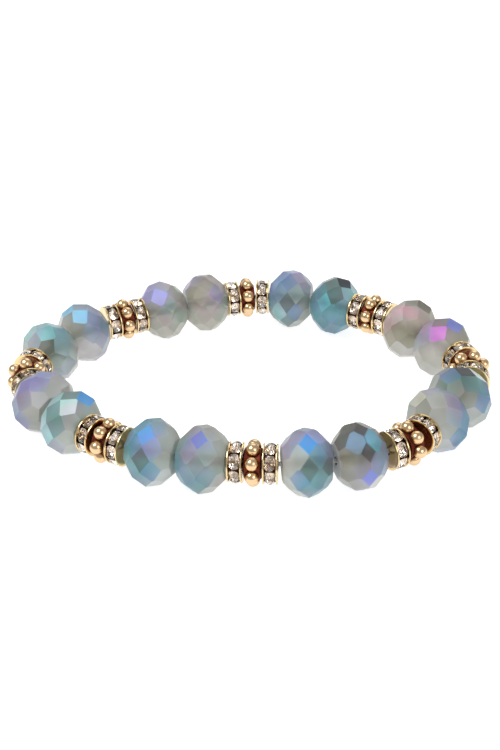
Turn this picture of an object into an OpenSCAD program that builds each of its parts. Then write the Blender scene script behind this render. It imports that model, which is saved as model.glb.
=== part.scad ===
// Beaded stretch bracelet lying flat on a table.
// Forty pieces are strung on one elastic cord: faceted glass beads in pairs, and between the
// pairs a gold ball spacer with a rhinestone rondelle on each side of it.
// The origin is the middle of the loop on the table, +X runs along the long way of the loop.

/* [Glass beads] */
// Diameter of a bead over its girdle
bead_d = 10; // [8:0.5:12]
// Length of a bead along the cord
bead_t = 6.95; // [6.7:0.05:7.1]
// Lean of the main facets, measured from the cord
main_lean = 27.6; // [26:0.1:28.5]
// Lean of the end facets, measured from the cord
end_lean = 48; // [46:0.5:50]
// Height above the girdle at which the end facets begin
end_start = 1.65; // [1.6:0.05:1.75]
// How far the girdle facets stop short of touching each other, at the cutting depth
girdle_spare = 0.05; // [0.03:0.01:0.12]
// Diameter of the hole through every bead
bead_hole_d = 1.3; // [1.2:0.05:1.5]

/* [Rhinestone rondelles] */
// Diameter of a rondelle over its rims
rondelle_d = 5.8; // [5.6:0.1:6.2]
// Length of a rondelle along the cord
rondelle_t = 2.12; // [2.08:0.02:2.4]
// Thickness of each gold rim
rim_t = 0.24; // [0.2:0.02:0.28]
// Diameter of the core between the rims
core_d = 2.5; // [2.3:0.1:2.6]
// Size of a stone along the cord
stone_w = 1.54; // [1.4:0.02:1.58]
// Size of a stone round the rondelle
stone_l = 2.2; // [2:0.05:2.25]
// Distance of a stone's girdle from the cord
stone_seat = 2.48; // [2.48:0.02:2.6]

/* [Ball spacers] */
// Diameter of each soldered ball
ball_d = 2; // [1.9:0.02:2.06]
// Distance of a ball's centre from the cord
ball_ring = 2.42; // [2.36:0.02:2.46]
// Diameter of the disc that the balls are soldered to
disc_d = 4.4; // [4.2:0.1:4.6]
// Length of that disc along the cord
disc_t = 2.4; // [2.3:0.05:2.5]

/* [String] */
// Clearance where two neighbours touch at the inside of the loop
gap = 0.07; // [0.05:0.01:0.12]
// Direction of the front spacer's hole, degrees from the long way of the loop
front_heading = -2.6; // [-3:0.1:-2]
// Diameter of the elastic cord
cord_d = 0.7; // [0.6:0.05:0.8]

/* [Hidden] */
// The string repeats eight times: spacer, rondelle, bead, bead, rondelle
REPEATS = 8;
PATTERN = ["spacer", "rondelle", "bead", "bead", "rondelle"];
PIECES = REPEATS * len(PATTERN);
BEADS = 2 * REPEATS;
FACETS = 8;
STONES = 7;
BALLS = 7;
CORD_SIDES = 8;
SMOOTH = 48;   // sides of the round faces

// Colours of the four materials
GLASS = [0.66, 0.70, 0.68];
GOLD = [0.83, 0.66, 0.42];
CRYSTAL = [0.90, 0.90, 0.92];
ELASTIC = [0.85, 0.85, 0.82];

// How each bead was cut and how it sits on the cord, in string order from the front spacer.
// All three turns are about the cord, in degrees from straight up to outwards.
ROLL = 0;      // turn of the first girdle facet
OFF = 1;       // how far the ring of girdle facets was cut off centre
TOWARDS = 2;   // the side on which they were cut deeper
bead_cut = [
    [22, 0.02, 90], [5, 0.14, 215], [30, 0.05, 0], [7, 0.06, 90],
    [38, 0.04, 45], [2, 0.06, 180], [31, 0.05, 60], [18, 0.08, 0],
    [22, 0.04, 100], [39, 0.06, 90], [5, 0.08, 40], [15, 0.05, 180],
    [35, 0.04, 20], [41, 0.08, 60], [25, 0.05, 120], [21, 0.06, 210]];

// The same turn for the first stone of each rondelle and for the first ball of each spacer
stone_roll = [3, 10, 33, 20, 45, 9, 0, 19, 1, 0, 21, 28, 5, 12, 33, 3];
ball_roll = [7, 44, 20, 31, 44, 12, 3, 33];

// Bend of the string at each joint, degrees before they are scaled to one full turn. A row is
// one repeat, its columns are the joints after spacer, rondelle, bead, bead and rondelle.
bend = [
    [2.5, 8, 11.5, 13, 10],
    [13.5, 1, 6, 21, 17],
    [16, 9, 10, 11.5, 5],
    [1, 0.5, 19.5, 6.5, 10.5],
    [7.5, 1, 9, 0.5, 1],
    [1, 18, 18, 10, 21.5],
    [22.5, 7, 13, 6, 5],
    [3.5, 10, 8, 3, 1.5]];
whole_bend = [for (row = bend, joint = row) joint] * [for (row = bend, joint = row) 1];

// Distance from the cord of the edge between two main facets at a height above the girdle,
// and of the corners of the flat at a bead's end
function main_edge_r(z) = (bead_d / 2 - z * tan(main_lean)) / cos(180 / FACETS);
end_flat_r = (main_edge_r(end_start) - (bead_t / 2 - end_start) * tan(end_lean)) / cos(180 / FACETS);

// What kind a piece is, half its length along the cord and how wide its end face is
function kind(i) = PATTERN[i % len(PATTERN)];
function half_length(i) =
    kind(i) == "bead" ? bead_t / 2 : kind(i) == "rondelle" ? rondelle_t / 2 : disc_t / 2;
function face_r(i) =
    kind(i) == "bead" ? end_flat_r : kind(i) == "rondelle" ? rondelle_d / 2 : disc_d / 2;

// The string turns at every joint about the inner edge of the smaller of the two end faces
function turn(i) = bend[floor(i / len(PATTERN))][i % len(PATTERN)] * 360 / whole_bend;
function along(a) = [cos(a), sin(a)];
function inwards(a) = [-sin(a), cos(a)];
function step(i, a) =
    along(a) * (half_length(i) + gap / 2)
    + (inwards(a) - inwards(a + turn(i))) * min(face_r(i), face_r(i + 1))
    + along(a + turn(i)) * (half_length(i + 1) + gap / 2);

// The walk round the string from the front spacer on, one step a piece: place in plan and
// heading. The small closing error is shared out over all the pieces.
walk = [for (i = 0, a = front_heading, p = [0, 0]; i < PIECES;
    p = p + step(i, a), a = a + turn(i), i = i + 1) [p, a]];
last = walk[PIECES - 1];
closing = last[0] + step(PIECES - 1, last[1]);
function walked(i) = walk[i][0] - closing * i / PIECES;
function heading(i) = walk[i][1];

// Corners of the beads' outlines in plan, used to put the loop's middle at the origin
outline = [[0, bead_d / 2], [end_start, main_edge_r(end_start)], [bead_t / 2, end_flat_r]];
corners = [for (n = [1:BEADS], side = [-1, 1], end = [-1, 1], o = outline)
    let (i = piece_of_bead(n))
    walked(i) + side * o.y * inwards(heading(i)) + end * o.x * along(heading(i))];
xs = [for (c = corners) c.x];
ys = [for (c = corners) c.y];
middle = [min(xs) + max(xs), min(ys) + max(ys)] / 2;
string_z = bead_d / 2;
function place(i) = walked(i) - middle;

function numbered(name, n) = str(name, "_", n < 10 ? "0" : "", n);
function piece_of_bead(n) = floor((n - 1) / 2) * len(PATTERN) + 2 + (n - 1) % 2;
function piece_of_rondelle(n) = floor((n - 1) / 2) * len(PATTERN) + 1 + 3 * ((n - 1) % 2);

// Puts a piece that stands on its hole's axis on the string. Its +X side comes uppermost and
// is then turned about the cord, from straight up to outwards.
module strung(i, roll) {
    translate([place(i).x, place(i).y, string_z])
        rotate([0, 0, heading(i)])
        rotate([0, -90, 0])
        rotate([0, 0, -roll])
        children();
}

// Two equal pyramids base to base; the lean is that of a face from the axis
module double_pyramid(apothem, lean) {
    ring_r = apothem / cos(180 / FACETS);
    tip_z = apothem / tan(lean);
    ring = [for (k = [0:FACETS - 1]) ring_r * [cos(k * 360 / FACETS), sin(k * 360 / FACETS), 0]];
    polyhedron(
        points = concat(ring, [[0, 0, tip_z], [0, 0, -tip_z]]),
        faces = [for (k = [0:FACETS - 1], side = [0, 1])
            let (next = (k + 1) % FACETS)
            side == 0 ? [FACETS, next, k] : [FACETS + 1, k, next]]);
}

// A bead ground in three rows: main facets, end facets turned by half a step, girdle facets
module glass_bead(cut) {
    half_step = 180 / FACETS;
    girdle_apothem = bead_d / 2 * cos(half_step) + girdle_spare;
    deeper_side = cut[ROLL] - cut[TOWARDS];
    color(GLASS)
    difference() {
        intersection() {
            double_pyramid(bead_d / 2, main_lean);
            rotate([0, 0, half_step])
                double_pyramid(main_edge_r(end_start) + end_start * tan(end_lean), end_lean);
            translate(-cut[OFF] * [cos(deeper_side), sin(deeper_side), 0])
                rotate([0, 0, half_step])
                cylinder(h = bead_t, r = girdle_apothem / cos(half_step), center = true, $fn = FACETS);
        }
        cylinder(h = 2 * bead_t, d = bead_hole_d, center = true, $fn = SMOOTH);
    }
}

// Gold body of a rondelle: two thin rims on a core, turned in one piece
module rondelle() {
    hole_r = bead_hole_d / 2;
    rim_r = rondelle_d / 2;
    in_t = rondelle_t / 2 - rim_t;
    out_t = rondelle_t / 2;
    bevel = rim_t / 3;
    color(GOLD)
    rotate_extrude($fn = SMOOTH)
        polygon([
            [hole_r, -out_t], [rim_r - bevel, -out_t], [rim_r, -out_t + bevel], [rim_r, -in_t],
            [core_d / 2, -in_t], [core_d / 2, in_t],
            [rim_r, in_t], [rim_r, out_t - bevel], [rim_r - bevel, out_t], [hole_r, out_t]]);
}

// One cut stone: table, crown and point, with its girdle in the plane z = 0
module stone() {
    table_share = 0.58;
    table_z = 0.4;
    point_z = -0.85;
    girdle = [for (k = [0:FACETS - 1])
        let (a = (k + 0.5) * 360 / FACETS)
        [stone_w / 2 * cos(a), stone_l / 2 * sin(a)] / cos(180 / FACETS)];
    polyhedron(
        points = concat(
            [for (p = girdle) [p.x, p.y, 0]],
            [for (p = girdle) [p.x * table_share, p.y * table_share, table_z]],
            [[0, 0, point_z]]),
        faces = concat(
            [[for (k = [FACETS - 1:-1:0]) FACETS + k]],
            [for (k = [0:FACETS - 1]) [k, FACETS + k, FACETS + (k + 1) % FACETS, (k + 1) % FACETS]],
            [for (k = [0:FACETS - 1]) [k, (k + 1) % FACETS, 2 * FACETS]]));
}

// The ring of stones in one rondelle
module stones() {
    color(CRYSTAL)
    for (k = [0:STONES - 1])
        rotate([0, 0, k * 360 / STONES])
            translate([stone_seat, 0, 0])
            rotate([0, 90, 0])
            stone();
}

// Ball spacer: a drilled disc with a ring of balls soldered round it
module ball_spacer() {
    color(GOLD)
    difference() {
        union() {
            cylinder(h = disc_t, d = disc_d, center = true, $fn = SMOOTH);
            for (k = [0:BALLS - 1])
                rotate([0, 0, k * 360 / BALLS])
                    translate([ball_ring, 0, 0])
                    sphere(d = ball_d, $fn = SMOOTH);
        }
        cylinder(h = 2 * disc_t, d = bead_hole_d, center = true, $fn = SMOOTH);
    }
}

// The elastic cord: straight through every hole, bent at every joint, closed on itself
module elastic_cord() {
    rings = [for (i = [0:PIECES - 1], end = [-1, 1])
        let (p = place(i) + end * half_length(i) * along(heading(i)))
        [p.x, p.y, heading(i)]];
    count = len(rings);
    color(ELASTIC)
    translate([0, 0, string_z])
    polyhedron(
        points = [for (q = rings, s = [0:CORD_SIDES - 1])
            let (b = s * 360 / CORD_SIDES, out = cord_d / 2 * cos(b))
            [q.x + out * sin(q.z), q.y - out * cos(q.z), cord_d / 2 * sin(b)]],
        faces = [for (q = [0:count - 1], s = [0:CORD_SIDES - 1])
            let (r = (q + 1) % count, t = (s + 1) % CORD_SIDES)
            [q * CORD_SIDES + s, q * CORD_SIDES + t, r * CORD_SIDES + t, r * CORD_SIDES + s]]);
}

for (n = [1:BEADS]) {
    strung(piece_of_bead(n), bead_cut[n - 1][ROLL]) glass_bead(bead_cut[n - 1]);
    strung(piece_of_rondelle(n), stone_roll[n - 1]) rondelle();
    strung(piece_of_rondelle(n), stone_roll[n - 1]) stones();
}
for (n = [1:REPEATS]) {
    strung((n - 1) * len(PATTERN), ball_roll[n - 1]) ball_spacer();
}
elastic_cord();
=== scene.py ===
"""Looks of the beaded stretch bracelet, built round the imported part.

The frame gives every solid at its place. The glass beads, the rondelles, their stones and the ball
spacers are each rebuilt here as one finer piece over the solid that it stands for, and dressed with
node-based finishes. The elastic cord keeps its own solid.
"""

import logging
import math
from dataclasses import dataclass, field
from enum import Enum

import bmesh
import bpy
from mathutils import Euler, Matrix, Vector


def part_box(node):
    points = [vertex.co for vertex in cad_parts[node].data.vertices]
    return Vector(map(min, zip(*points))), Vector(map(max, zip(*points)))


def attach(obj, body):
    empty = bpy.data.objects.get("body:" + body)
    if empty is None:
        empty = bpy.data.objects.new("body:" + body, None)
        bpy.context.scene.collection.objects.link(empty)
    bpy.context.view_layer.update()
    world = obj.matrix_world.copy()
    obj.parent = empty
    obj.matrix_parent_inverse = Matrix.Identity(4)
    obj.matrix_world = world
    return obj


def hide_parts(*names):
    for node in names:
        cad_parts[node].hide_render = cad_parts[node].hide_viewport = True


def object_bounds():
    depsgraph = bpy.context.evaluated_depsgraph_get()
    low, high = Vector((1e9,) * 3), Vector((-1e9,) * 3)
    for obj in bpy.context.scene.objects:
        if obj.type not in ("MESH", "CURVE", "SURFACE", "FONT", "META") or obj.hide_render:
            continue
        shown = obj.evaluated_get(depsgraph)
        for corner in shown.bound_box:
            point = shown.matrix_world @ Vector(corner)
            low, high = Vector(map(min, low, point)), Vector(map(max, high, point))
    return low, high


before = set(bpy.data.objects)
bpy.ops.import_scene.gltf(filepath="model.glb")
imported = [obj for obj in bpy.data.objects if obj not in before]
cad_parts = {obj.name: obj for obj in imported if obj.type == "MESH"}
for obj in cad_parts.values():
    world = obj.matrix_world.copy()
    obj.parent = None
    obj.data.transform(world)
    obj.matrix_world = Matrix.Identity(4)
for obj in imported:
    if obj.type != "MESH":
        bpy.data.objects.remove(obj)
CAD_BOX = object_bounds()

LOG = logging.getLogger("bracelet")
MM = 0.001
BODY = "root"
# Points closer than this are one, in metres, and edges flatter than this are shaded smooth
MERGE = 1e-6
SMOOTH_BELOW = math.radians(35)

Colour = tuple[float, float, float]


# ---- tints of the glass and its film, with painted reflections and painted light


class Tint(Enum):
    """Named tints of the glass and its film, red, green and blue from 0 to 1.

    They hold painted light: the bright glint tints are painted highlights and reflections, the
    darkest are painted dark reflections, and the pale ones are painted light from below.
    """

    BARE = (0.785, 0.78, 0.735)
    CREAM = (0.98, 0.96, 0.86)
    PALE = (0.87, 0.87, 0.85)
    MOSS = (0.63, 0.62, 0.53)
    UMBER = (0.44, 0.41, 0.35)
    PEWTER = (0.64, 0.66, 0.62)
    SLATE = (0.42, 0.48, 0.46)
    SMOKE = (0.20, 0.19, 0.16)
    INK = (0.12, 0.12, 0.15)
    MINT = (0.90, 1.00, 0.98)
    FOAM = (0.66, 0.84, 0.84)
    SEA = (0.46, 0.59, 0.58)
    TEAL = (0.44, 0.64, 0.68)
    AQUA = (0.47, 0.76, 0.80)
    STEEL = (0.46, 0.62, 0.69)
    DENIM = (0.20, 0.46, 0.57)
    BLUE = (0.41, 0.60, 0.76)
    SKY = (0.35, 0.67, 1.00)
    CYAN = (0.44, 0.84, 0.97)
    PERIWINKLE = (0.52, 0.57, 0.97)
    IRIS = (0.60, 0.63, 0.83)
    VIOLET = (0.72, 0.64, 0.88)
    LILAC = (0.68, 0.67, 0.74)
    HEATHER = (0.56, 0.61, 0.70)
    ORCHID = (0.93, 0.62, 1.00)
    ROSE = (0.84, 0.74, 0.75)

    def linear(self) -> Colour:
        """The tint in linear light."""
        return tuple(_to_linear(c) for c in self.value)

    def crispness(self) -> float:
        """How clearly a facet of this tint stands out from the glass round it, 0 to 1."""
        return CRISPNESS.get(self, SOFT)

    def film(self) -> float:
        """How much film a facet of this tint carries, 0 to 1."""
        return 0.0 if self in FILMLESS else 1.0


T = Tint

# The painted glints and the painted dark reflections are sharply bounded, the other tints run into
# each other
CRISPNESS = {
    T.DENIM: 1.0, T.SKY: 0.95, T.CYAN: 0.95, T.MINT: 0.95, T.INK: 0.95, T.SMOKE: 0.95,
    T.ORCHID: 0.9, T.AQUA: 0.85, T.SLATE: 0.85, T.UMBER: 0.75, T.PALE: 0.75, T.PERIWINKLE: 0.7,
    T.FOAM: 0.7, T.SEA: 0.7, T.CREAM: 0.7, T.BARE: 0.65, T.BLUE: 0.55, T.MOSS: 0.45}
SOFT = 0.35
FILMLESS = (T.BARE, T.PALE, T.CREAM, T.MOSS)


def _to_linear(c: float) -> float:
    """One display channel in linear light."""
    return c / 12.92 if c <= 0.04045 else ((c + 0.055) / 1.055) ** 2.4


class Row(Enum):
    """The rows in which a bead is cut, by the letter that a facet's name starts with."""

    GIRDLE = "G"
    AHEAD_MAIN = "A"
    BEHIND_MAIN = "B"
    AHEAD_END = "E"
    BEHIND_END = "F"
    FLAT = "T"


@dataclass(frozen=True)
class FilmAndPaintedLight:
    """The film on one bead, with painted light on its facets.

    Facets are numbered about the cord from the bead's roll, upwards to outwards, and named with
    the letter of their row. The film covers the girdle and one side. On either side the tint runs
    from the top of the bead to its foot, partly the glass's and film's own colour and partly
    painted light and shade from above and below. A few facets carry painted highlights and painted
    dark reflections.

    Attributes:
        ahead: Whether the film is on the side ahead along the string.
        film: Tints of the filmed side: top, middle, foot, with painted light and shade in them.
        bare: Tints of the other side: top, middle, foot, with painted light and shade in them.
        painted_reflections: The facets that carry painted highlights and painted dark reflections.
        top_above: How far up a facet of the top faces, as the sine of the angle.
        foot_below: The same for a facet of the foot.
    """

    ahead: bool
    film: tuple[Tint, Tint, Tint]
    bare: tuple[Tint, Tint, Tint]
    painted_reflections: dict[str, Tint]
    top_above: float = 0.75
    foot_below: float = -0.11

    def tint(self, row: Row, index: int, height: float) -> Tint:
        """Picks the tint of a facet.

        Args:
            row: Row of the facet.
            index: Number of the facet in its row, 0 to 7.
            height: How far the facet faces up, -1 to 1.

        Returns:
            The facet's tint.
        """
        if row is Row.FLAT:
            return Tint.BARE
        name = f"{row.value}{index}"
        # These facets' tints are painted highlights and painted dark reflections
        if name in self.painted_reflections:
            return self.painted_reflections[name]
        filmed = row is Row.GIRDLE or (row in (Row.AHEAD_MAIN, Row.AHEAD_END)) == self.ahead
        # How far the facet faces up picks the level: painted light and shade from above and below
        level = 0 if height > self.top_above else 1 if height > self.foot_below else 2
        return (self.film if filmed else self.bare)[level]


# The beads in string order from the front spacer on, each with its film side, its tints with
# painted light and shade, and its facets with painted highlights and painted dark reflections
FILMS_AND_PAINTED_LIGHT = (
    FilmAndPaintedLight(True, (T.HEATHER, T.TEAL, T.TEAL), (T.LILAC, T.BARE, T.PALE), dict(
        G0=T.SKY, A7=T.VIOLET, G1=T.SLATE, E1=T.SLATE, B1=T.BLUE)),
    FilmAndPaintedLight(True, (T.UMBER, T.HEATHER, T.IRIS), (T.UMBER, T.MOSS, T.BARE), dict(
        G0=T.SMOKE, A0=T.AQUA, B0=T.DENIM, G1=T.SMOKE, A2=T.CREAM, G2=T.PERIWINKLE)),
    FilmAndPaintedLight(True, (T.LILAC, T.BLUE, T.STEEL), (T.BARE, T.BARE, T.PALE), dict(
        B6=T.CREAM, F7=T.MOSS, B0=T.LILAC, B1=T.BLUE, B2=T.IRIS)),
    FilmAndPaintedLight(True, (T.PEWTER, T.TEAL, T.STEEL), (T.PEWTER, T.BARE, T.PALE), dict(
        B7=T.BLUE, G0=T.INK, A0=T.MINT, B0=T.SEA, B1=T.BLUE, F1=T.MOSS)),
    FilmAndPaintedLight(True, (T.LILAC, T.LILAC, T.BARE), (T.MOSS, T.BARE, T.PALE), dict(
        G7=T.UMBER, B7=T.PERIWINKLE, B6=T.ORCHID)),
    FilmAndPaintedLight(False, (T.ROSE, T.MOSS, T.PALE), (T.ROSE, T.BARE, T.BARE), dict(
        G0=T.UMBER, B0=T.UMBER, G7=T.ROSE, A6=T.ROSE)),
    FilmAndPaintedLight(True, (T.TEAL, T.TEAL, T.STEEL), (T.FOAM, T.TEAL, T.STEEL), dict(
        B7=T.INK, G7=T.SLATE, A7=T.SLATE, B6=T.SLATE, G6=T.AQUA)),
    FilmAndPaintedLight(True, (T.IRIS, T.TEAL, T.SEA), (T.LILAC, T.PEWTER, T.BARE), dict(
        G7=T.BLUE, G6=T.SLATE, A5=T.FOAM, B5=T.BLUE)),
    FilmAndPaintedLight(False, (T.PEWTER, T.PEWTER, T.BARE), (T.LILAC, T.PEWTER, T.BARE), dict(
        G7=T.MOSS, A6=T.MOSS, E7=T.MOSS, B6=T.VIOLET, E0=T.VIOLET)),
    FilmAndPaintedLight(True, (T.IRIS, T.PEWTER, T.BARE), (T.PEWTER, T.PEWTER, T.BARE), dict(
        A6=T.PERIWINKLE, G7=T.PEWTER, E6=T.MOSS)),
    FilmAndPaintedLight(False, (T.HEATHER, T.LILAC, T.LILAC), (T.MOSS, T.PALE, T.PALE), dict(
        A7=T.CYAN, A0=T.CYAN, G0=T.PEWTER, A6=T.HEATHER, B6=T.STEEL)),
    FilmAndPaintedLight(False, (T.STEEL, T.PEWTER, T.PALE), (T.LILAC, T.PEWTER, T.LILAC), dict(
        A0=T.FOAM, A7=T.AQUA, G0=T.FOAM, E7=T.UMBER, A6=T.STEEL)),
    FilmAndPaintedLight(False, (T.IRIS, T.HEATHER, T.HEATHER), (T.PALE, T.BARE, T.BARE), dict(
        A7=T.IRIS, A1=T.IRIS, A0=T.LILAC)),
    FilmAndPaintedLight(False, (T.FOAM, T.FOAM, T.FOAM), (T.PEWTER, T.BARE, T.PALE), dict(
        A7=T.MINT, A6=T.SKY, G7=T.SLATE, G0=T.SEA, A0=T.SEA, A1=T.LILAC)),
    FilmAndPaintedLight(False, (T.STEEL, T.TEAL, T.TEAL), (T.BARE, T.BARE, T.PALE), dict(
        G0=T.SKY, A0=T.IRIS, G1=T.SLATE, A1=T.BLUE, A7=T.LILAC)),
    FilmAndPaintedLight(False, (T.PEWTER, T.STEEL, T.TEAL), (T.BARE, T.PEWTER, T.BARE), dict(
        G0=T.PERIWINKLE, B0=T.LILAC, G1=T.PEWTER, A1=T.STEEL, E2=T.ROSE)),
)


# ---- places on the string

# Roll of every bead, rondelle and spacer about the cord, degrees from straight up to outwards
BEAD_ROLL = (22, 5, 30, 7, 38, 2, 31, 18, 22, 39, 5, 15, 35, 41, 25, 21)
RONDELLE_ROLL = (3, 10, 33, 20, 45, 9, 0, 19, 1, 0, 21, 28, 5, 12, 33, 3)
SPACER_ROLL = (7, 44, 20, 31, 44, 12, 3, 33)


@dataclass(frozen=True)
class Seat:
    """Where a piece sits on the string."""

    place: Vector
    heading: float

    def matrix(self, roll: float) -> Matrix:
        """World matrix of a piece rolled about the string, in degrees from up to outwards."""
        turn = Matrix.Rotation(self.heading, 4, "Z") @ Matrix.Rotation(math.radians(roll), 4, "X")
        return Matrix.Translation(self.place) @ turn


@dataclass(frozen=True)
class StringLayout:
    """The walk round the string, in the part's own order and sizes (millimetres, degrees)."""

    half_length: dict[str, float] = field(
        default_factory=lambda: {"B": 3.475, "R": 1.06, "S": 1.2})
    face_radius: dict[str, float] = field(
        default_factory=lambda: {"B": 2.6534, "R": 2.9, "S": 2.2})
    pattern: str = "SRBBR"
    gap: float = 0.07
    front_heading: float = -2.6
    bends: tuple[tuple[float, ...], ...] = (
        (2.5, 8, 11.5, 13, 10), (13.5, 1, 6, 21, 17), (16, 9, 10, 11.5, 5),
        (1, 0.5, 19.5, 6.5, 10.5), (7.5, 1, 9, 0.5, 1), (1, 18, 18, 10, 21.5),
        (22.5, 7, 13, 6, 5), (3.5, 10, 8, 3, 1.5))

    def spacer(self, n: int) -> int:
        """Place on the string of ball spacer n, counted from 1."""
        return (n - 1) * len(self.pattern)

    def bead(self, n: int) -> int:
        """Place on the string of bead n, counted from 1, two in each repeat."""
        return (n - 1) // 2 * len(self.pattern) + 2 + (n - 1) % 2

    def rondelle(self, n: int) -> int:
        """Place on the string of rondelle n, counted from 1, one on either side of two beads."""
        return (n - 1) // 2 * len(self.pattern) + 1 + 3 * ((n - 1) % 2)

    def seats(self) -> list[Seat]:
        """Walks the string and sets it onto the frame's own rondelles.

        Returns:
            One seat for each of the forty pieces, in string order.
        """
        turns = [bend for repeat in self.bends for bend in repeat]
        scale = 360 / sum(turns)
        kinds = self.pattern * len(self.bends)
        walk, at, angle = [], Vector((0, 0)), self.front_heading
        for i, kind in enumerate(kinds):
            walk.append((at.copy(), math.radians(angle)))
            after = kinds[(i + 1) % len(kinds)]
            nxt = angle + turns[i] * scale
            hinge = min(self.face_radius[kind], self.face_radius[after])
            a, b = math.radians(angle), math.radians(nxt)
            at = at + _along(a) * (self.half_length[kind] + self.gap / 2)
            at = at + (_inwards(a) - _inwards(b)) * hinge
            at = at + _along(b) * (self.half_length[after] + self.gap / 2)
            angle = nxt
        flat = [(p - at * i / len(kinds), h) for i, (p, h) in enumerate(walk)]
        shift = Vector((0, 0))
        for n in range(1, len(RONDELLE_ROLL) + 1):
            low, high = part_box(f"rondelle_{n:02d}")
            middle = (Vector(low) + Vector(high)) / 2
            shift += middle.xy - flat[self.rondelle(n)][0] * MM
        shift /= len(RONDELLE_ROLL)
        return [Seat(Vector((*(p * MM + shift), middle.z)), h) for p, h in flat]


def _along(a: float) -> Vector:
    """Unit vector along a heading."""
    return Vector((math.cos(a), math.sin(a)))


def _inwards(a: float) -> Vector:
    """Unit vector to the left of a heading."""
    return Vector((-math.sin(a), math.cos(a)))


# ---- node helpers

Socket = bpy.types.NodeSocket
Value = Socket | float | tuple[float, ...]
FLOAT, VECTOR = "NodeSocketFloat", "NodeSocketVector"


@dataclass
class Graph:
    """Thin wrapper that adds and links the nodes of one tree."""

    tree: bpy.types.NodeTree

    def add(self, kind: str, inputs: dict[str | int, Value] | None = None,
            **props: object) -> bpy.types.Node:
        """Adds a node, sets its properties and fills its inputs.

        Args:
            kind: Blender's name of the node type.
            inputs: Values or sockets, by input name or number.
            props: Properties of the node.

        Returns:
            The new node.
        """
        node = self.tree.nodes.new(kind)
        for name, value in props.items():
            setattr(node, name, value)
        self.fill(node, inputs or {})
        return node

    def fill(self, node: bpy.types.Node, inputs: dict[str | int, Value]) -> None:
        """Sets or links a node's inputs.

        Args:
            node: The node.
            inputs: Values or sockets, by input name or number.
        """
        for key, value in inputs.items():
            if isinstance(value, bpy.types.NodeSocket):
                self.tree.links.new(value, node.inputs[key])
            else:
                node.inputs[key].default_value = value

    def math(self, operation: str, *values: Value) -> Socket:
        """Result of a Math node on the given values."""
        return self.add("ShaderNodeMath", dict(enumerate(values)), operation=operation).outputs[0]

    def mix(self, factor: Value, first: Value, second: Value, blend: str = "MIX") -> Socket:
        """Mixes two colours.

        Args:
            factor: Share of the second colour.
            first: Colour at factor 0.
            second: Colour at factor 1.
            blend: Blend mode.

        Returns:
            The mixed colour.
        """
        node = self.add("ShaderNodeMix", data_type="RGBA", blend_type=blend)
        factor_in, first_in, second_in, colour_out = 0, 6, 7, 2
        colours = {
            slot: value if isinstance(value, bpy.types.NodeSocket) else (*value, 1.0)
            for slot, value in ((first_in, first), (second_in, second))}
        self.fill(node, {factor_in: factor, **colours})
        return node.outputs[colour_out]

    def ramp(self, value: Value, low: float, high: float, top: float = 1.0) -> Socket:
        """Smooth step of a value, from 0 at the low end of a range to the top at its high end."""
        return self.add("ShaderNodeMapRange", {0: value, 1: low, 2: high, 3: 0.0, 4: top},
                        interpolation_type="SMOOTHSTEP").outputs[0]

    def noise(self, vector: Socket, scale: Value, detail: float = 2.0) -> Socket:
        """Noise value at a point."""
        inputs = {"Vector": vector, "Scale": scale, "Detail": detail}
        return self.add("ShaderNodeTexNoise", inputs).outputs[0]

    def point(self) -> Socket:
        """The point of the surface in the object's own axes."""
        return self.add("ShaderNodeTexCoord").outputs["Object"]


def new_material(name: str) -> tuple[bpy.types.Material, Graph, bpy.types.Node]:
    """Starts a material.

    Args:
        name: Name of the material.

    Returns:
        The material, its graph and its Principled shader.
    """
    made = bpy.data.materials.new(name)
    made.use_nodes = True
    return made, Graph(made.node_tree), made.node_tree.nodes["Principled BSDF"]


def make_grain_group() -> bpy.types.NodeTree:
    """Builds the group for the fine frosting of glass and the slow clouds in glass and plating.

    Returns:
        A group that gives a grain height and a slow cloud value at a point.
    """
    tree = bpy.data.node_groups.new("fine_grain", "ShaderNodeTree")
    for label, kind in (("Point", VECTOR), ("Grain Scale", FLOAT), ("Cloud Scale", FLOAT)):
        tree.interface.new_socket(label, in_out="INPUT", socket_type=kind)
    for label in ("Grain", "Cloud"):
        tree.interface.new_socket(label, in_out="OUTPUT", socket_type=FLOAT)
    graph = Graph(tree)
    source, out = graph.add("NodeGroupInput").outputs, graph.add("NodeGroupOutput")
    graph.fill(out, {
        "Grain": graph.noise(source["Point"], source["Grain Scale"], 3.0),
        "Cloud": graph.noise(source["Point"], source["Cloud Scale"], 1.0)})
    return tree


# ---- finishes


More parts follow.
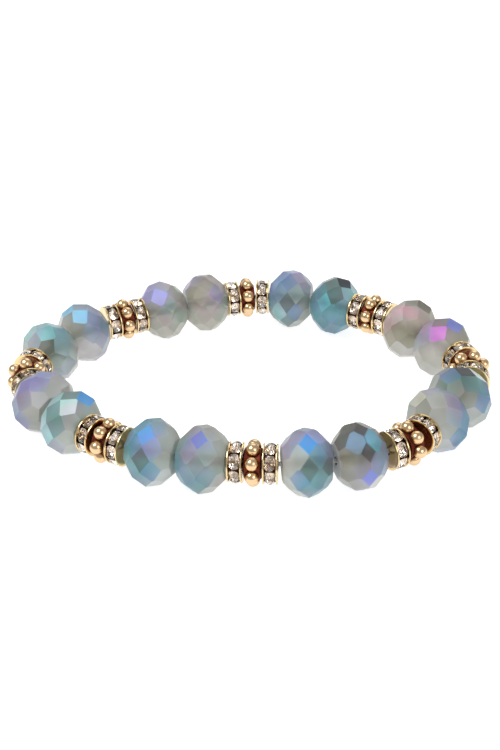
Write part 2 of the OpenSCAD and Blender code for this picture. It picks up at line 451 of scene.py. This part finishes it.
@dataclass(frozen=True)
class OpalGlass:
    """Frosted glass with a film on one side, tinted facet by facet with painted light, and with a
    painted rim light that pales the colour towards grazing edges.
    """

    roughness_bare: float = 0.48
    roughness_film: float = 0.34
    grain_scale: float = 9000.0
    grain_height: float = 0.00001
    cloud_scale: float = 380.0
    cloud_tints: tuple[Colour, Colour] = ((0.92, 0.93, 0.90), (1.08, 1.06, 1.08))
    shimmer_scale: float = 260.0
    shimmer_tints: tuple[Colour, Colour] = ((1.14, 0.93, 1.04), (0.88, 1.06, 1.02))
    # Painted rim light: a pale tint towards grazing edges, standing in for light through and off
    # the frosted glass; its reach, its share, and how much less it is on the film
    painted_rim_light_tint: Colour = (0.93, 0.93, 0.88)
    painted_rim_light_reach: float = 0.35
    painted_rim_light_share: float = 0.68
    painted_rim_light_less_on_film: float = 0.55
    milk_depth: float = 1.2 * MM

    def material(self, grain: bpy.types.NodeTree) -> bpy.types.Material:
        """Builds the finish.

        Args:
            grain: The shared grain group.

        Returns:
            The material.
        """
        made, graph, shader = new_material("opal_glass")
        point = graph.point()
        # The film colour layer carries the facet tints with their painted highlights, dark
        # reflections and light from above and below
        film = graph.add("ShaderNodeAttribute", attribute_name="film").outputs["Color"]
        coat = graph.add("ShaderNodeAttribute", attribute_name="coat").outputs["Fac"]
        speckle = graph.add("ShaderNodeGroup", {
            "Point": point, "Grain Scale": self.grain_scale,
            "Cloud Scale": self.cloud_scale}, node_tree=grain).outputs
        cloudy = graph.mix(graph.ramp(speckle["Cloud"], 0.3, 0.7), *self.cloud_tints)
        base = graph.mix(1.0, film, cloudy, "MULTIPLY")
        shift = graph.ramp(graph.noise(point, self.shimmer_scale, 1.0), 0.36, 0.64)
        shimmer = graph.mix(shift, *self.shimmer_tints)
        base = graph.mix(coat, base, graph.mix(1.0, base, shimmer, "MULTIPLY"))
        # Painted rim light: the colour pales towards grazing edges, less where the film is
        edge = graph.add("ShaderNodeLayerWeight", {"Blend": self.painted_rim_light_reach}).outputs["Facing"]
        share = graph.math("MULTIPLY_ADD", coat, -self.painted_rim_light_less_on_film, self.painted_rim_light_share)
        painted_rim_light = graph.math("MULTIPLY", graph.ramp(edge, 0.35, 1.0), share)
        smoother = self.roughness_film - self.roughness_bare
        bump = graph.add("ShaderNodeBump", {
            "Height": speckle["Grain"], "Distance": self.grain_height, "Strength": 0.6})
        graph.fill(shader, {
            "Base Color": graph.mix(painted_rim_light, base, self.painted_rim_light_tint),
            "Roughness": graph.math("MULTIPLY_ADD", coat, smoother, self.roughness_bare),
            "Normal": bump.outputs[0],
            "Subsurface Weight": 0.4,
            "Subsurface Radius": (1.0, 1.0, 0.9),
            "Subsurface Scale": self.milk_depth,
            "IOR": 1.5,
            "Specular IOR Level": 0.3,
            "Transmission Weight": 0.5,
            "Coat Weight": 0.1,
            "Coat Roughness": 0.2})
        return made


@dataclass(frozen=True)
class PlatedGold:
    """Pale gold plating with painted shade: darker and redder low in the recesses, standing in for
    the shade there and the red light that the gold throws on itself. It is also duller there.
    """

    name: str
    bright: Colour
    roughness: float = 0.17
    # Painted shade in the recesses: dark red for the shade and the light the gold throws on itself
    # there
    painted_shade: Colour = (0.16, 0.034, 0.020)
    deep_dulling: float = 0.3
    cloud_scale: float = 900.0
    cloud_height: float = 0.00004
    cloud_roughness: float = 0.16
    warm_share: float = 0.25
    warm_gain: float = 1.15

    def material(self, grain: bpy.types.NodeTree) -> bpy.types.Material:
        """Builds the finish.

        Args:
            grain: The shared grain group.

        Returns:
            The material.
        """
        made, graph, shader = new_material(self.name)
        painted_shade = graph.add("ShaderNodeAttribute", attribute_name="depth").outputs["Fac"]
        cloud = graph.add("ShaderNodeGroup", {
            "Point": graph.point(), "Cloud Scale": self.cloud_scale},
            node_tree=grain).outputs["Cloud"]
        warm = graph.math("MULTIPLY", graph.ramp(cloud, 0.35, 0.65, self.warm_share),
                          graph.math("SUBTRACT", 1.0, painted_shade))
        warmer = tuple(c * self.warm_gain for c in self.bright)
        rough = graph.math("MULTIPLY_ADD", cloud, self.cloud_roughness,
                           self.roughness - self.cloud_roughness / 2)
        bump = graph.add("ShaderNodeBump", {
            "Height": cloud, "Distance": self.cloud_height, "Strength": 0.5})
        graph.fill(shader, {
            # The gold, warmer in random clouds, turns to the painted shade colour low in the
            # recesses
            "Base Color": graph.mix(warm, graph.mix(painted_shade, self.bright, self.painted_shade), warmer),
            "Roughness": graph.math("MULTIPLY_ADD", painted_shade, self.deep_dulling, rough),
            "Normal": bump.outputs[0],
            "Metallic": 1.0})
        return made


@dataclass(frozen=True)
class CutCrystal:
    """Clear stone over a foil: a glass crown, and a back that mirrors inside, dark outside."""

    crown_scale: float = 700.0
    crown_tints: tuple[Colour, Colour] = ((0.99, 0.96, 0.95), (1.0, 1.0, 1.0))
    foil_scale: float = 1100.0
    foil_tints: tuple[Colour, Colour] = ((0.92, 0.85, 0.78), (0.48, 0.38, 0.29))
    outside: Colour = (0.02, 0.015, 0.012)

    def crown(self) -> bpy.types.Material:
        """Builds the clear glass of the crown.

        Returns:
            The material.
        """
        made, graph, shader = new_material("crystal")
        cloud = graph.ramp(graph.noise(graph.point(), self.crown_scale), 0.3, 0.7)
        graph.fill(shader, {
            "Base Color": graph.mix(cloud, *self.crown_tints), "Roughness": 0.02,
            "Transmission Weight": 1.0, "IOR": 1.56})
        return made

    def foil(self) -> bpy.types.Material:
        """Builds the foiled back.

        Returns:
            The material.
        """
        made, graph, shader = new_material("crystal_foil")
        inside = graph.add("ShaderNodeNewGeometry").outputs["Backfacing"]
        cloud = graph.ramp(graph.noise(graph.point(), self.foil_scale), 0.46, 0.62)
        silver = graph.mix(cloud, *self.foil_tints)
        graph.fill(shader, {
            "Base Color": graph.mix(inside, self.outside, silver), "Metallic": 1.0,
            "Roughness": 0.1})
        return made


@dataclass(frozen=True)
class ClearElastic:
    """Clear stretch cord."""

    cloud_scale: float = 1500.0
    tints: tuple[Colour, Colour] = ((0.90, 0.89, 0.87), (0.96, 0.95, 0.93))

    def material(self) -> bpy.types.Material:
        """Builds the finish.

        Returns:
            The material.
        """
        made, graph, shader = new_material("elastic")
        tint = graph.mix(graph.noise(graph.point(), self.cloud_scale), *self.tints)
        graph.fill(shader, {"Base Color": tint, "Roughness": 0.35, "Transmission Weight": 0.3})
        return made


# ---- mesh helpers


def add_piece(name: str, mesh: bpy.types.Mesh, place: Matrix, node: str) -> bpy.types.Object:
    """Puts a copy of a mesh into the scene in place of a solid of the frame.

    Args:
        name: Name of the new piece.
        mesh: Its mesh, in the piece's own axes.
        place: The piece's place in the frame.
        node: The solid that it stands for.

    Returns:
        The new object.
    """
    own = mesh.copy()
    own.name = name
    own.transform(place)
    piece = bpy.data.objects.new(name, own)
    bpy.context.scene.collection.objects.link(piece)
    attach(piece, BODY)
    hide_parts(node)
    LOG.info("%s with %d faces", name, len(own.polygons))
    return piece


def to_mesh(shape: bmesh.types.BMesh, name: str) -> bpy.types.Mesh:
    """Writes a shape to a new mesh and frees the shape.

    Args:
        shape: The shape.
        name: Name of the mesh.

    Returns:
        The mesh.
    """
    made = bpy.data.meshes.new(name)
    shape.to_mesh(made)
    shape.free()
    return made


def smooth_by_angle(mesh: bpy.types.Mesh) -> None:
    """Shades a mesh smooth and keeps its steeper edges sharp.

    Args:
        mesh: The mesh.
    """
    shape = bmesh.new()
    shape.from_mesh(mesh)
    for face in shape.faces:
        face.smooth = True
    for edge in shape.edges:
        edge.smooth = edge.is_manifold and edge.calc_face_angle(0.0) < SMOOTH_BELOW
    shape.to_mesh(mesh)
    shape.free()


def lathe(shape: bmesh.types.BMesh, half: list[tuple[float, float]], sides: int) -> None:
    """Turns a profile and its mirror image about the X axis into a closed ring.

    Args:
        shape: The mesh that takes the faces.
        half: Points of the half ahead as distance along X and radius, in metres.
        sides: Number of sides.
    """
    profile = half + [(-x, r) for x, r in reversed(half)]
    rings = []
    for s in range(sides):
        a = s * math.tau / sides
        rings.append([shape.verts.new((x, r * math.cos(a), r * math.sin(a))) for x, r in profile])
    for s in range(sides):
        here, there = rings[s], rings[(s + 1) % sides]
        for p in range(len(profile)):
            q = (p + 1) % len(profile)
            shape.faces.new((here[p], here[q], there[q], there[p]))
    bmesh.ops.recalc_face_normals(shape, faces=shape.faces)


def mark_depth(mesh: bpy.types.Mesh, start: float, run: float,
               half_width: float = math.inf) -> None:
    """Writes how far down in the recess each vertex lies, 0 to 1: the mask of the painted shade on
    the plating.

    Args:
        mesh: The mesh, its axis along X.
        start: Radius below which the recess starts.
        run: How far below that it is at its deepest.
        half_width: How far along X the recess reaches.
    """
    layer = mesh.attributes.new("depth", "FLOAT", "POINT")
    for i, vertex in enumerate(mesh.vertices):
        painted_shade = (start - math.hypot(vertex.co.y, vertex.co.z)) / run
        within = abs(vertex.co.x) < half_width
        layer.data[i].value = min(1.0, max(0.0, painted_shade)) if within else 0.0


def join_meshes(name: str, first: bmesh.types.BMesh, second: bmesh.types.BMesh) -> bpy.types.Mesh:
    """Joins two closed meshes into one closed skin and frees them.

    The join gives its points and faces in no fixed order. Both are sorted by place, so that the
    mesh is the same each run.

    Args:
        name: Name of the result.
        first: The first mesh.
        second: The second mesh.

    Returns:
        Their union.
    """
    parts = []
    for shape in (first, second):
        part = bpy.data.objects.new(name, to_mesh(shape, name))
        bpy.context.scene.collection.objects.link(part)
        parts.append(part)
    join = parts[0].modifiers.new("join", "BOOLEAN")
    join.operation, join.solver, join.object = "UNION", "EXACT", parts[1]
    joined = bpy.data.meshes.new_from_object(
        parts[0].evaluated_get(bpy.context.evaluated_depsgraph_get()))
    points = [tuple(vertex.co) for vertex in joined.vertices]
    order = sorted(range(len(points)), key=points.__getitem__)
    rank = {old: new for new, old in enumerate(order)}
    faces = sorted([rank[i] for i in face.vertices] for face in joined.polygons)
    made = bpy.data.meshes.new(name)
    made.from_pydata([points[i] for i in order], [], faces)
    for part in parts:
        bpy.data.objects.remove(part)
    bpy.data.meshes.remove(joined)
    return made


# ---- glass beads

FACETS = 8


@dataclass(frozen=True)
class Facet:
    """One facet of a bead in the bead's own axes."""

    row: Row
    index: int
    normal: Vector
    middle: Vector


@dataclass(frozen=True)
class BeadCut:
    """How a bead is cut, in degrees from straight out of the cord.

    Attributes:
        main_lean: Lean of the main facets' normals.
        end_lean: Lean of the end facets' normals.
        main_middle: Direction of the main facets' middles from the bead's centre.
        end_middle: Direction of the end facets' middles from the bead's centre.
    """

    main_lean: float = 27.6
    end_lean: float = 48
    main_middle: float = 14
    end_middle: float = 38

    def facets(self) -> list[Facet]:
        """Lists a bead's facets.

        Returns:
            Every facet once.
        """
        main, end = (self.main_lean, self.main_middle), (self.end_lean, self.end_middle)
        out = []
        for k in range(FACETS):
            for row, half, angles, side in (
                    (Row.GIRDLE, 0.0, (0.0, 0.0), 0),
                    (Row.AHEAD_MAIN, 0.5, main, 1), (Row.BEHIND_MAIN, 0.5, main, -1),
                    (Row.AHEAD_END, 0.0, end, 1), (Row.BEHIND_END, 0.0, end, -1)):
                turn = (k + half) * math.tau / FACETS
                normal, towards = (
                    Vector((side * math.sin(a), -math.cos(a) * math.sin(turn),
                            math.cos(a) * math.cos(turn)))
                    for a in map(math.radians, angles))
                out.append(Facet(row, k, normal, towards))
        ends = (Vector((1, 0, 0)), Vector((-1, 0, 0)))
        return out + [Facet(Row.FLAT, n, x, x) for n, x in enumerate(ends)]


FACET_PLANES = BeadCut().facets()


@dataclass
class GlassBead:
    """One faceted bead: the frame's solid with its edges eased and every facet tinted, the tints
    holding painted highlights, painted dark reflections and painted light from above and below.

    Attributes:
        number: Number of the bead on the string.
        seat: Its place.
        roll: Its turn about the cord, in degrees.
        film_and_painted_light: Its film and the painted light on its facets.
        edge: How far an edge is set back.
        edge_steps: Strips in an eased edge.
        edge_profile: How round an eased edge is, 0.5 for a plain arc.
        hole_radius: Radius within which an edge belongs to the hole.
        flat_below: Bend below which two faces of the solid are one facet.
        cut_above: Bend above which an edge is eased.
        on_facet: How far a face's normal may be from a facet's to count as that facet.
        spread: How far a tint spreads into the frosted glass round its facet.
    """

    number: int
    seat: Seat
    roll: float
    film_and_painted_light: FilmAndPaintedLight
    edge: float = 0.13 * MM
    edge_steps: int = 2
    edge_profile: float = 0.6
    hole_radius: float = 0.7 * MM
    flat_below: float = math.radians(0.6)
    cut_above: float = math.radians(3)
    on_facet: float = math.radians(2)
    spread: float = math.radians(15)

    @property
    def node(self) -> str:
        """Name of the solid."""
        return f"glass_bead_{self.number:02d}"

    def mesh(self) -> bpy.types.Mesh:
        """Copies the solid into the bead's own axes and eases the edges between its facets.

        Returns:
            The mesh, with a tint and a film mask on every face's corners; the tint holds the
            painted light of its facet.
        """
        shape = bmesh.new()
        shape.from_mesh(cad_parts[self.node].data)
        back = self.seat.matrix(self.roll).inverted()
        bmesh.ops.transform(shape, matrix=back, verts=shape.verts)
        bmesh.ops.remove_doubles(shape, verts=shape.verts, dist=MERGE)
        bmesh.ops.dissolve_limit(
            shape, angle_limit=self.flat_below, verts=shape.verts, edges=shape.edges)
        edges = [e for e in shape.edges if self._is_cut_edge(e)]
        bmesh.ops.bevel(
            shape, geom=edges, offset=self.edge, offset_type="OFFSET", segments=self.edge_steps,
            profile=self.edge_profile, affect="EDGES", clamp_overlap=True)
        # The film colour layer holds each facet's tint, with its painted highlights, painted dark
        # reflections and painted light from above and below
        film = shape.loops.layers.float_color.new("film")
        coat = shape.loops.layers.float.new("coat")
        around = {v: self._soft_tint(v.co) for v in shape.verts}
        for face in shape.faces:
            own, crisp = self._own_tint(face.normal)
            for loop in face.loops:
                blend = [a + (b - a) * crisp for a, b in zip(around[loop.vert], own)]
                loop[film] = (*blend[:3], 1.0)
                loop[coat] = blend[3]
        return to_mesh(shape, f"{self.node}_cut")

    def _is_cut_edge(self, edge: bmesh.types.BMEdge) -> bool:
        """Tells an edge between two facets from one at the hole.

        Args:
            edge: An edge of the solid.

        Returns:
            Whether the edge is eased.
        """
        if not edge.is_manifold or all(v.co.yz.length < self.hole_radius for v in edge.verts):
            return False
        return edge.calc_face_angle(0.0) > self.cut_above

    def _tint(self, facet: Facet) -> Tint:
        """Tint of a facet, with the bead rolled about the cord; how far the facet faces up sets its
        painted light from above and below.
        """
        turn = math.atan2(-facet.normal.y, facet.normal.z) + math.radians(self.roll)
        return self.film_and_painted_light.tint(facet.row, facet.index, math.cos(turn))

    def _look(self, facet: Facet) -> tuple[float, float, float, float]:
        """Linear colour and film mask of a facet."""
        tint = self._tint(facet)
        return (*tint.linear(), tint.film())

    def _own_tint(self, normal: Vector) -> tuple[list[float], float]:
        """Finds the tint of the facet that a face belongs to, or of the two it lies between.

        Args:
            normal: The face's normal in the bead's own axes.

        Returns:
            Linear colour with the film mask, and how crisply the tint is bounded.
        """
        near = sorted((normal.angle(f.normal), i) for i, f in enumerate(FACET_PLANES))[:2]
        (first, _), (second, _) = near
        total = first + second
        weights = (1.0, 0.0) if first < self.on_facet else (second / total, first / total)
        facets = [FACET_PLANES[i] for _, i in near]
        looks = [self._look(f) for f in facets]
        colour = [sum(w * look[c] for w, look in zip(weights, looks)) for c in range(4)]
        crisp = sum(w * self._tint(f).crispness() for w, f in zip(weights, facets))
        return colour, crisp

    def _soft_tint(self, point: Vector) -> list[float]:
        """Mixes the tints of all facets by their distance, as the frosted glass does.

        Args:
            point: A point of the bead in its own axes.

        Returns:
            Linear colour with the film mask.
        """
        total, colour = 0.0, [0.0] * 4
        for facet in FACET_PLANES:
            weight = math.exp(-(point.angle(facet.middle) / self.spread) ** 2)
            total += weight
            colour = [c + weight * look for c, look in zip(colour, self._look(facet))]
        return [c / total for c in colour]

    def build(self, glass: bpy.types.Material) -> bpy.types.Object:
        """Makes the bead and dresses it.

        Args:
            glass: The opal glass finish.

        Returns:
            The bead.
        """
        mesh = self.mesh()
        mesh.materials.append(glass)
        place = self.seat.matrix(self.roll)
        return add_piece(f"{self.node}_cut", mesh, place, self.node)


# ---- rondelles


@dataclass
class Rondelle:
    """Gold rondelle body with two rims, and the ring of cut stones between them.

    Attributes:
        length: Length along the cord.
        radius: Radius over the rims.
        rim: Thickness of a rim.
        rim_rounding: Share of a rim's thickness over which its edge is rounded.
        core: Radius of the core between the rims.
        hole: Radius of the drilled hole.
        dish: Depth of the dish in the outer face.
        dish_slope: How far inside the rim the slope into the dish starts and ends.
        boss_slope: How far outside the hole the slope out of the dish ends and starts.
        hole_easing: How far the hole's edge is set back.
        recess_start: How far inside the rim the painted shade on the plating starts.
        recess_run: How far below that the painted shade is at its darkest.
        sides: Sides of the turned body.
        stones: Number of stones.
        facets: Number of facets in each row of a stone's crown.
        stone_seat: Distance of a stone's girdle from the cord's middle.
        half_width: Half width of a stone along the cord.
        half_span: Half width of a stone round the cord.
        squareness: Power that pushes a stone's outline into its corners.
        middle: Size of the crown's middle ring as a share of the girdle.
        table: Size of the table as a share of the girdle.
        table_height: Height of the table over the girdle.
        point: Depth of the back's point under the girdle.
        off_true: How far a stone may lean, in degrees.
        turn_gain: How much more than it leans a stone may turn on its own axis.
        lean_steps: Steps of the wave that sets the leans, by stone and by axis.
        ways: Number of rings whose stones lean in another way.
    """

    length: float = 2.12 * MM
    radius: float = 2.9 * MM
    rim: float = 0.24 * MM
    rim_rounding: float = 0.38
    core: float = 1.25 * MM
    hole: float = 0.65 * MM
    dish: float = 0.05 * MM
    dish_slope: tuple[float, float] = (0.5 * MM, 0.62 * MM)
    boss_slope: tuple[float, float] = (0.12 * MM, 0.25 * MM)
    hole_easing: float = 0.06 * MM
    recess_start: float = 0.15 * MM
    recess_run: float = 0.5 * MM
    sides: int = 96
    stones: int = 7
    facets: int = 8
    stone_seat: float = 2.48 * MM
    half_width: float = 0.76 * MM
    half_span: float = 1.09 * MM
    squareness: float = 0.62
    middle: float = 0.80
    table: float = 0.56
    table_height: float = 0.40 * MM
    point: float = 0.85 * MM
    off_true: float = 3.0
    turn_gain: float = 2.0
    lean_steps: tuple[float, float] = (12.9898, 4.1)
    ways: int = 4

    def body_mesh(self) -> bpy.types.Mesh:
        """Turns the gold body, its rims rounded and its outer faces slightly dished.

        Returns:
            The mesh, with the mask of the painted shade between the rims.
        """
        out, inn = self.length / 2, self.length / 2 - self.rim
        ease = self.rim * self.rim_rounding
        corner = ease * 0.3
        shape = bmesh.new()
        lathe(shape, [
            (inn, self.core), (inn, self.radius - ease), (inn + corner, self.radius - corner),
            (inn + self.rim / 2, self.radius), (out - corner, self.radius - corner),
            (out, self.radius - ease), (out, self.radius - self.dish_slope[0]),
            (out - self.dish, self.radius - self.dish_slope[1]),
            (out - self.dish, self.hole + self.boss_slope[1]),
            (out, self.hole + self.boss_slope[0]), (out - self.hole_easing, self.hole)],
            self.sides)
        made = to_mesh(shape, "rondelle_body")
        smooth_by_angle(made)
        mark_depth(made, self.radius - self.recess_start, self.recess_run, inn + MERGE)
        return made

    def _crown_rings(self) -> tuple[list[Vector], list[Vector], list[Vector]]:
        """Lays out the crown of a stone, with its table up along Z.

        Returns:
            Points of the girdle, the middle ring and the table.
        """
        step = math.tau / self.facets
        rise = self.table_height * (1 - self.middle * math.cos(step / 2)) / (1 - self.table)
        girdle, middle, table = [], [], []
        for k in range(self.facets):
            for size, turn, z, ring in (
                    (1.0, k, 0.0, girdle), (1.0, k + 0.5, 0.0, girdle),
                    (self.middle, k + 0.5, rise, middle),
                    (self.table, k, self.table_height, table)):
                across, along = (
                    math.copysign(abs(share) ** self.squareness, share)
                    for share in (math.cos(turn * step), math.sin(turn * step)))
                ring.append(Vector((
                    self.half_width * size * across, self.half_span * size * along, z)))
        return girdle, middle, table

    def _cut_stone(self, shape: bmesh.types.BMesh, seat: Matrix) -> None:
        """Cuts one stone: table, stars, kites and girdle facets over a foiled point.

        Args:
            shape: The mesh that takes the faces, material 0 on the crown and 1 on the back.
            seat: The stone's place.
        """
        g, m, t = ([shape.verts.new(seat @ p) for p in ring] for ring in self._crown_rings())
        low = shape.verts.new(seat @ Vector((0, 0, -self.point)))
        shape.faces.new(t)
        for k in range(self.facets):
            corner, edge, beyond = g[2 * k], g[2 * k + 1], g[(2 * k + 2) % len(g)]
            for corners in (
                    (t[k], m[k], t[(k + 1) % self.facets]), (t[k], m[k - 1], corner, m[k]),
                    (m[k], corner, edge), (m[k], edge, beyond)):
                shape.faces.new(corners)
        for k, vertex in enumerate(g):
            shape.faces.new((vertex, low, g[(k + 1) % len(g)])).material_index = 1

    def stones_mesh(self, seed: int) -> bpy.types.Mesh:
        """Cuts the seven stones, each a degree or two off true.

        Args:
            seed: Picks how the stones lean.

        Returns:
            The mesh, material 0 on the crowns and 1 on the backs.
        """
        shape = bmesh.new()
        by_stone, by_axis = self.lean_steps
        for n in range(self.stones):
            wave = by_stone * (seed * self.stones + n)
            lean = [math.radians(self.off_true * math.sin(wave + by_axis * axis))
                    for axis in range(3)]
            tilt = Euler((lean[0], lean[1], lean[2] * self.turn_gain)).to_matrix().to_4x4()
            turn = Matrix.Rotation(n * math.tau / self.stones, 4, "X")
            self._cut_stone(shape, turn @ Matrix.Translation((0, 0, self.stone_seat)) @ tilt)
        bmesh.ops.recalc_face_normals(shape, faces=shape.faces)
        return to_mesh(shape, f"stones_{seed}")

    def body(self, gold: bpy.types.Material) -> bpy.types.Mesh:
        """Makes the gold body and dresses it.

        Args:
            gold: The plating.

        Returns:
            The mesh that every rondelle shares.
        """
        made = self.body_mesh()
        made.materials.append(gold)
        return made

    def stone_rings(self, crystal: CutCrystal) -> list[bpy.types.Mesh]:
        """Makes the rings of stones and dresses them.

        Args:
            crystal: The finish of the stones.

        Returns:
            One mesh for each way in which the stones lean.
        """
        crown, foil = crystal.crown(), crystal.foil()
        rings = [self.stones_mesh(seed) for seed in range(self.ways)]
        for mesh in rings:
            mesh.materials.append(crown)
            mesh.materials.append(foil)
        return rings


# ---- ball spacers


@dataclass
class BallSpacer:
    """Gold disc with seven balls soldered round it.

    Attributes:
        length: Length along the cord.
        radius: Radius of the disc.
        hole: Radius of the drilled hole.
        easing: How far the disc's outer edges are set back.
        groove: Depth of the shallow groove round the disc.
        groove_edge: Half width of the groove's floor, and distance of its slope from the end.
        ball: Radius of a ball.
        ring: Distance of the balls' centres from the cord's middle.
        balls: Number of balls.
        recess_start: How far over the disc the painted shade on the plating starts.
        recess_run: How far below that the painted shade is at its darkest.
        sides: Sides of the disc.
        ball_cuts: Segments of a ball, round it and from pole to pole.
    """

    length: float = 2.4 * MM
    radius: float = 2.2 * MM
    hole: float = 0.65 * MM
    easing: float = 0.1 * MM
    groove: float = 0.12 * MM
    groove_edge: float = 0.3 * MM
    ball: float = 0.995 * MM
    ring: float = 2.42 * MM
    balls: int = 7
    recess_start: float = 0.45 * MM
    recess_run: float = 0.4 * MM
    sides: int = 72
    ball_cuts: tuple[int, int] = (28, 16)

    def mesh(self) -> bpy.types.Mesh:
        """Joins the disc and the balls into one closed skin.

        Returns:
            The mesh, with the mask of the painted shade on its recesses.
        """
        end, ease = self.length / 2, self.easing
        disc = bmesh.new()
        lathe(disc, [
            (self.groove_edge, self.radius - self.groove), (end - self.groove_edge, self.radius),
            (end - ease, self.radius), (end, self.radius - ease), (end, self.hole + ease),
            (end - ease, self.hole)], self.sides)
        balls = bmesh.new()
        round_it, over_it = self.ball_cuts
        for n in range(self.balls):
            turn = Matrix.Rotation(n * math.tau / self.balls, 4, "X")
            bmesh.ops.create_uvsphere(
                balls, u_segments=round_it, v_segments=over_it, radius=self.ball,
                matrix=turn @ Matrix.Translation((0, 0, self.ring)))
        made = join_meshes("ball_spacer_body", disc, balls)
        smooth_by_angle(made)
        mark_depth(made, self.radius + self.recess_start, self.recess_run)
        return made

    def cast(self, gold: bpy.types.Material) -> bpy.types.Mesh:
        """Makes the spacer and dresses it.

        Args:
            gold: The plating.

        Returns:
            The mesh that every spacer shares.
        """
        made = self.mesh()
        made.materials.append(gold)
        return made


# ---- studio


@dataclass(frozen=True)
class Panel:
    """A round soft light that faces the middle of the string."""

    name: str
    place: tuple[float, float, float]
    size: float
    power: float

    def build(self) -> None:
        """Hangs the panel."""
        data = bpy.data.lights.new(self.name, "AREA")
        data.shape, data.size, data.energy = "DISK", self.size, self.power
        lamp = bpy.data.objects.new(self.name, data)
        lamp.location = self.place
        lamp.rotation_euler = (-Vector(self.place)).to_track_quat("-Z", "Y").to_euler()
        bpy.context.scene.collection.objects.link(lamp)


@dataclass
class Studio:
    """Camera, floor and lights."""

    lens: float = 62.55
    sensor: float = 36.0
    aim: Vector = field(default_factory=lambda: Vector((0, 0, 5 * MM)))
    eye: Vector = field(default_factory=lambda: Vector((14.55 * MM, -172.72 * MM, 109.87 * MM)))
    roll: float = 1.37
    shift: tuple[float, float] = (0.0020, -0.0053)
    clip: tuple[float, float] = (0.01, 5.0)
    floor_size: float = 1.5
    floor_gap: float = 0.02 * MM
    floor_tint: Colour = (0.5, 0.5, 0.5)
    floor_glow: float = 0.8
    surround: float = 0.44
    panels: tuple[Panel, ...] = (
        Panel("key", (-0.25, -0.1, 0.45), 0.30, 1.6),
        Panel("fill", (0.35, -0.35, 0.30), 0.35, 0.8),
        Panel("back", (0.05, 0.45, 0.35), 0.45, 0.6))

    def build(self) -> None:
        """Makes the camera, the floor and the lights."""
        self._camera()
        self._floor()
        self._surround()
        for panel in self.panels:
            panel.build()
        LOG.info("studio with a camera, a floor and %d panels", len(self.panels))

    def _camera(self) -> None:
        """Sets the camera at the photograph's viewing angle."""
        data = bpy.data.cameras.new("camera")
        data.lens, data.sensor_width, data.sensor_fit = self.lens, self.sensor, "AUTO"
        data.shift_x, data.shift_y = self.shift
        data.clip_start, data.clip_end = self.clip
        camera = bpy.data.objects.new("camera", data)
        look = (self.aim - self.eye).to_track_quat("-Z", "Y").to_matrix().to_4x4()
        level = Matrix.Rotation(-math.radians(self.roll), 4, "Z")
        camera.matrix_world = Matrix.Translation(self.eye) @ look @ level
        bpy.context.scene.collection.objects.link(camera)
        bpy.context.scene.camera = camera

    def _floor(self) -> None:
        """Lays the pale floor."""
        shape = bmesh.new()
        bmesh.ops.create_grid(shape, x_segments=1, y_segments=1, size=self.floor_size)
        mesh = to_mesh(shape, "floor")
        floor = bpy.data.objects.new("floor", mesh)
        floor.location.z = CAD_BOX[0].z - self.floor_gap
        bpy.context.scene.collection.objects.link(floor)
        made, graph, shader = new_material("floor")
        graph.fill(shader, {
            "Base Color": (*self.floor_tint, 1.0), "Roughness": 0.8,
            "Emission Color": (1.0, 1.0, 1.0, 1.0), "Emission Strength": self.floor_glow})
        mesh.materials.append(made)

    def _surround(self) -> None:
        """Sets the even pale surround and plain display colours."""
        world = bpy.data.worlds.new("surround")
        world.use_nodes = True
        Graph(world.node_tree).fill(world.node_tree.nodes["Background"], {
            "Color": (1.0, 1.0, 1.0, 1.0), "Strength": self.surround})
        bpy.context.scene.world = world
        bpy.context.scene.view_settings.view_transform = "Standard"


# ---- the whole string


@dataclass
class Bracelet:
    """The whole string."""

    layout: StringLayout = field(default_factory=StringLayout)

    def build(self) -> None:
        """Builds and dresses every piece on the string."""
        seats = self.layout.seats()
        grain = make_grain_group()
        gold = PlatedGold("gold_plate", (0.80, 0.61, 0.32))
        rose = PlatedGold("rose_gold_plate", (0.77, 0.545, 0.315), roughness=0.25)
        self._beads(seats, OpalGlass().material(grain))
        self._rondelles(seats, gold.material(grain))
        self._spacers(seats, rose.material(grain))
        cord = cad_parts["elastic_cord"]
        cord.data.materials.clear()
        cord.data.materials.append(ClearElastic().material())
        LOG.info("elastic_cord dressed")

    def _beads(self, seats: list[Seat], glass: bpy.types.Material) -> None:
        """Builds the beads, each on its own seat and of the same glass."""
        for n, (roll, film_and_painted_light) in enumerate(zip(BEAD_ROLL, FILMS_AND_PAINTED_LIGHT), 1):
            GlassBead(n, seats[self.layout.bead(n)], roll, film_and_painted_light).build(glass)

    def _rondelles(self, seats: list[Seat], gold: bpy.types.Material) -> None:
        """Builds the rondelles and their stones.

        Args:
            seats: Every seat on the string.
            gold: The plating.
        """
        maker = Rondelle()
        body, rings = maker.body(gold), maker.stone_rings(CutCrystal())
        for n, roll in enumerate(RONDELLE_ROLL, 1):
            place = seats[self.layout.rondelle(n)].matrix(roll)
            ring = rings[n % len(rings)]
            add_piece(f"rondelle_{n:02d}_body", body, place, f"rondelle_{n:02d}")
            add_piece(f"stones_{n:02d}_cut", ring, place, f"stones_{n:02d}")

    def _spacers(self, seats: list[Seat], gold: bpy.types.Material) -> None:
        """Builds the ball spacers.

        Args:
            seats: Every seat on the string.
            gold: The plating.
        """
        mesh = BallSpacer().cast(gold)
        for n, roll in enumerate(SPACER_ROLL, 1):
            node = f"ball_spacer_{n:02d}"
            place = seats[self.layout.spacer(n)].matrix(roll)
            add_piece(f"{node}_cast", mesh, place, node)


def write_size() -> None:
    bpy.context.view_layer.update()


def main() -> None:
    """Builds the bracelet and its studio."""
    logging.basicConfig(level=logging.INFO, format="%(name)s: %(message)s")
    Studio().build()
    Bracelet().build()
    write_size()


if __name__ == "__main__":
    main()
